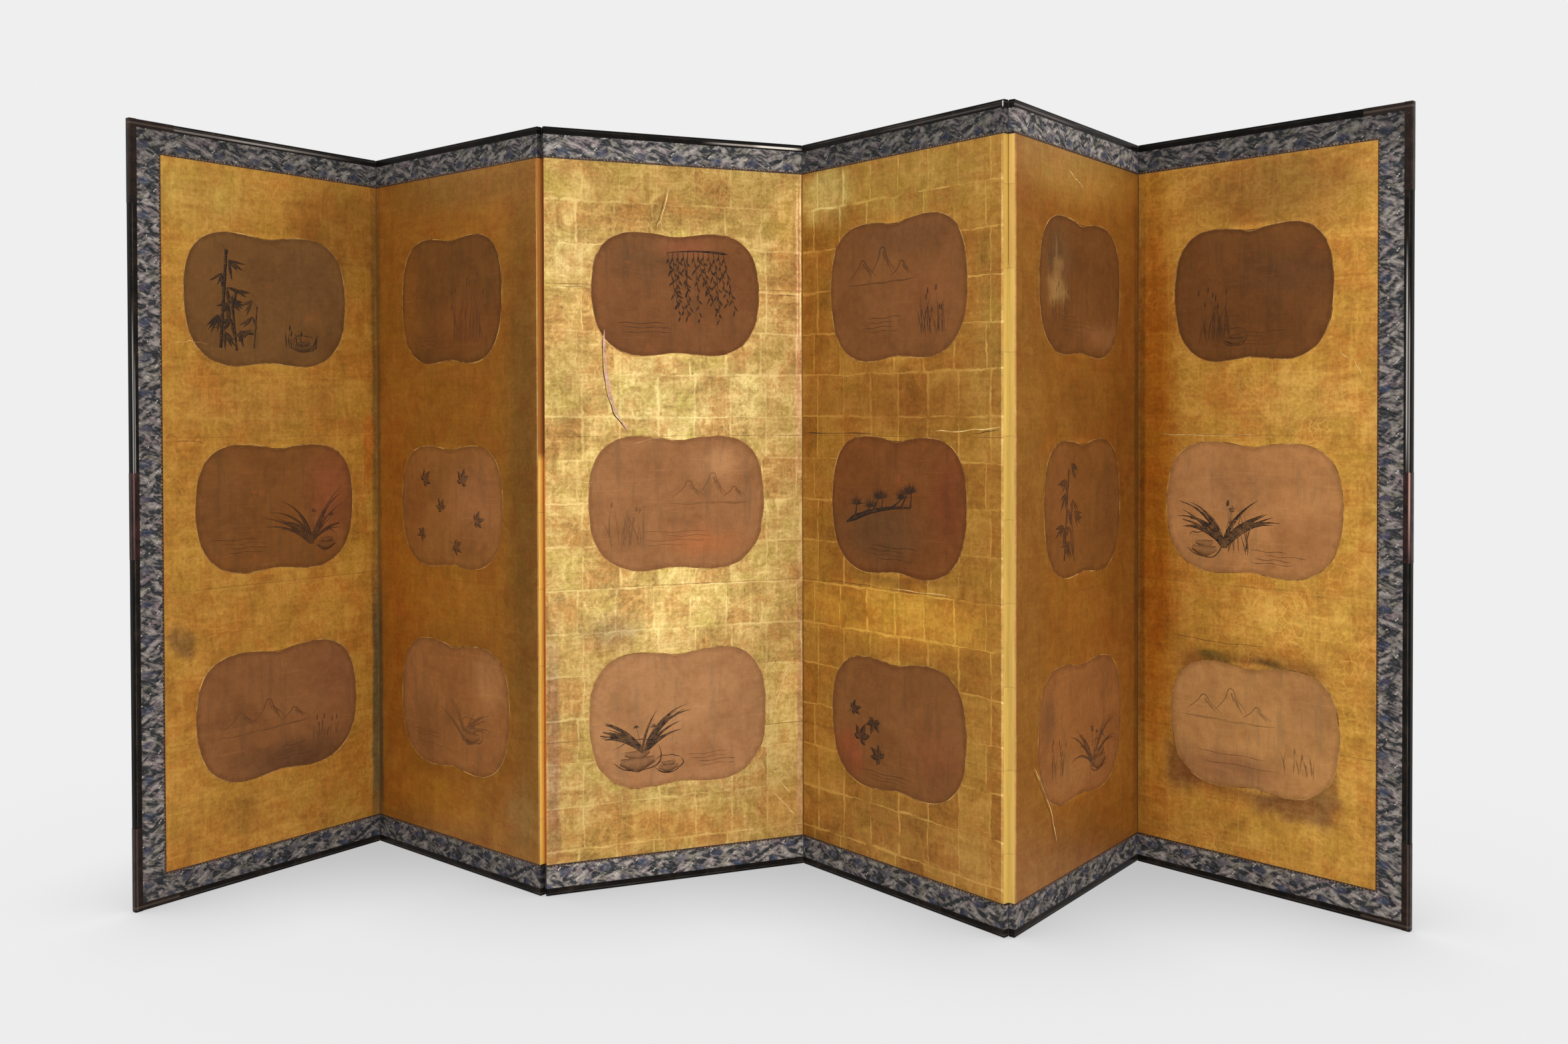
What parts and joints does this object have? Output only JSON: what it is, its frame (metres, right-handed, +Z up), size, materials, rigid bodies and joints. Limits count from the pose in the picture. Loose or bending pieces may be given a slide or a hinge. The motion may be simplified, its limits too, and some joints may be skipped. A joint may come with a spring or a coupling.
{
  "type": "folding screen",
  "caption": "Free-standing paper folding screen: hinged gold-leaf panels with brocade borders, a lacquered outer frame with metal fittings, and pasted double-lobed fan papers.",
  "frame": {"origin": "centre of the standing screen's bounding box, on the floor", "axes": "+X along the screen from its left end to its right end as seen from the painted front, +Y from front to back, +Z up"},
  "size_m": [2.7232, 0.6748, 1.7205],
  "materials": {
    "cedar": "planed, bare",
    "gold_leaf": "aged gold leaf on paper, satin",
    "back_paper": "dyed paper, matt",
    "hinge_paper": "gilded paper, satin",
    "brocade": "woven silk, indigo and grey",
    "edging": "narrow woven strip",
    "fan_paper": "brown painted paper, matt",
    "lacquer": "black-brown lacquer, semi-gloss",
    "patinated_metal": "dark patina"
  },
  "bodies": {
    "panel_1": {"panel_1_lattice_core": "cedar", "panel_1_gold_face": "gold_leaf", "panel_1_back_paper": "back_paper", "panel_1_hinge_bands": "hinge_paper", "panel_1_brocade_border": "brocade", "panel_1_edging_strip": "edging", "panel_1_fan_papers": "fan_paper", "panel_1_top_rail": "lacquer", "panel_1_bottom_rail": "lacquer", "left_stile": "lacquer", "left_corner_fittings": "patinated_metal", "left_side_fitting": "patinated_metal"},
    "panel_2": {"panel_2_lattice_core": "cedar", "panel_2_gold_face": "gold_leaf", "panel_2_back_paper": "back_paper", "panel_2_hinge_bands": "hinge_paper", "panel_2_brocade_border": "brocade", "panel_2_edging_strip": "edging", "panel_2_fan_papers": "fan_paper", "panel_2_top_rail": "lacquer", "panel_2_bottom_rail": "lacquer"},
    "panel_3": {"panel_3_lattice_core": "cedar", "panel_3_gold_face": "gold_leaf", "panel_3_back_paper": "back_paper", "panel_3_hinge_bands": "hinge_paper", "panel_3_brocade_border": "brocade", "panel_3_edging_strip": "edging", "panel_3_fan_papers": "fan_paper", "panel_3_top_rail": "lacquer", "panel_3_bottom_rail": "lacquer"},
    "panel_4": {"panel_4_lattice_core": "cedar", "panel_4_gold_face": "gold_leaf", "panel_4_back_paper": "back_paper", "panel_4_hinge_bands": "hinge_paper", "panel_4_brocade_border": "brocade", "panel_4_edging_strip": "edging", "panel_4_fan_papers": "fan_paper", "panel_4_top_rail": "lacquer", "panel_4_bottom_rail": "lacquer"},
    "panel_5": {"panel_5_lattice_core": "cedar", "panel_5_gold_face": "gold_leaf", "panel_5_back_paper": "back_paper", "panel_5_hinge_bands": "hinge_paper", "panel_5_brocade_border": "brocade", "panel_5_edging_strip": "edging", "panel_5_fan_papers": "fan_paper", "panel_5_top_rail": "lacquer", "panel_5_bottom_rail": "lacquer"},
    "panel_6": {"panel_6_lattice_core": "cedar", "panel_6_gold_face": "gold_leaf", "panel_6_back_paper": "back_paper", "panel_6_hinge_bands": "hinge_paper", "panel_6_brocade_border": "brocade", "panel_6_edging_strip": "edging", "panel_6_fan_papers": "fan_paper", "panel_6_top_rail": "lacquer", "panel_6_bottom_rail": "lacquer", "right_stile": "lacquer", "right_corner_fittings": "patinated_metal", "right_side_fitting": "patinated_metal"}
  },
  "joints": [
    {"name": "fold_1_2", "type": "hinge", "parent": "panel_2", "child": "panel_1", "pos_m": [-0.96096, 0.32622, 0.86], "axis": [0, 0, 1], "range_deg": [-93.3, 86.2]},
    {"name": "fold_2_3", "type": "hinge", "parent": "panel_3", "child": "panel_2", "pos_m": [-0.47963, -0.06961, 0.86], "axis": [0, 0, -1], "range_deg": [-62.1, 117.4]},
    {"name": "fold_3_4", "type": "hinge", "parent": "panel_3", "child": "panel_4", "pos_m": [0.10652, 0.14203, 0.86], "axis": [0, 0, -1], "range_deg": [-71.6, 107.9]},
    {"name": "fold_4_5", "type": "hinge", "parent": "panel_4", "child": "panel_5", "pos_m": [0.51591, -0.32782, 0.86], "axis": [0, 0, 1], "range_deg": [-102.3, 77.2]},
    {"name": "fold_5_6", "type": "hinge", "parent": "panel_5", "child": "panel_6", "pos_m": [0.91186, 0.15342, 0.86], "axis": [0, 0, -1], "range_deg": [-98.5, 81]}
  ]
}
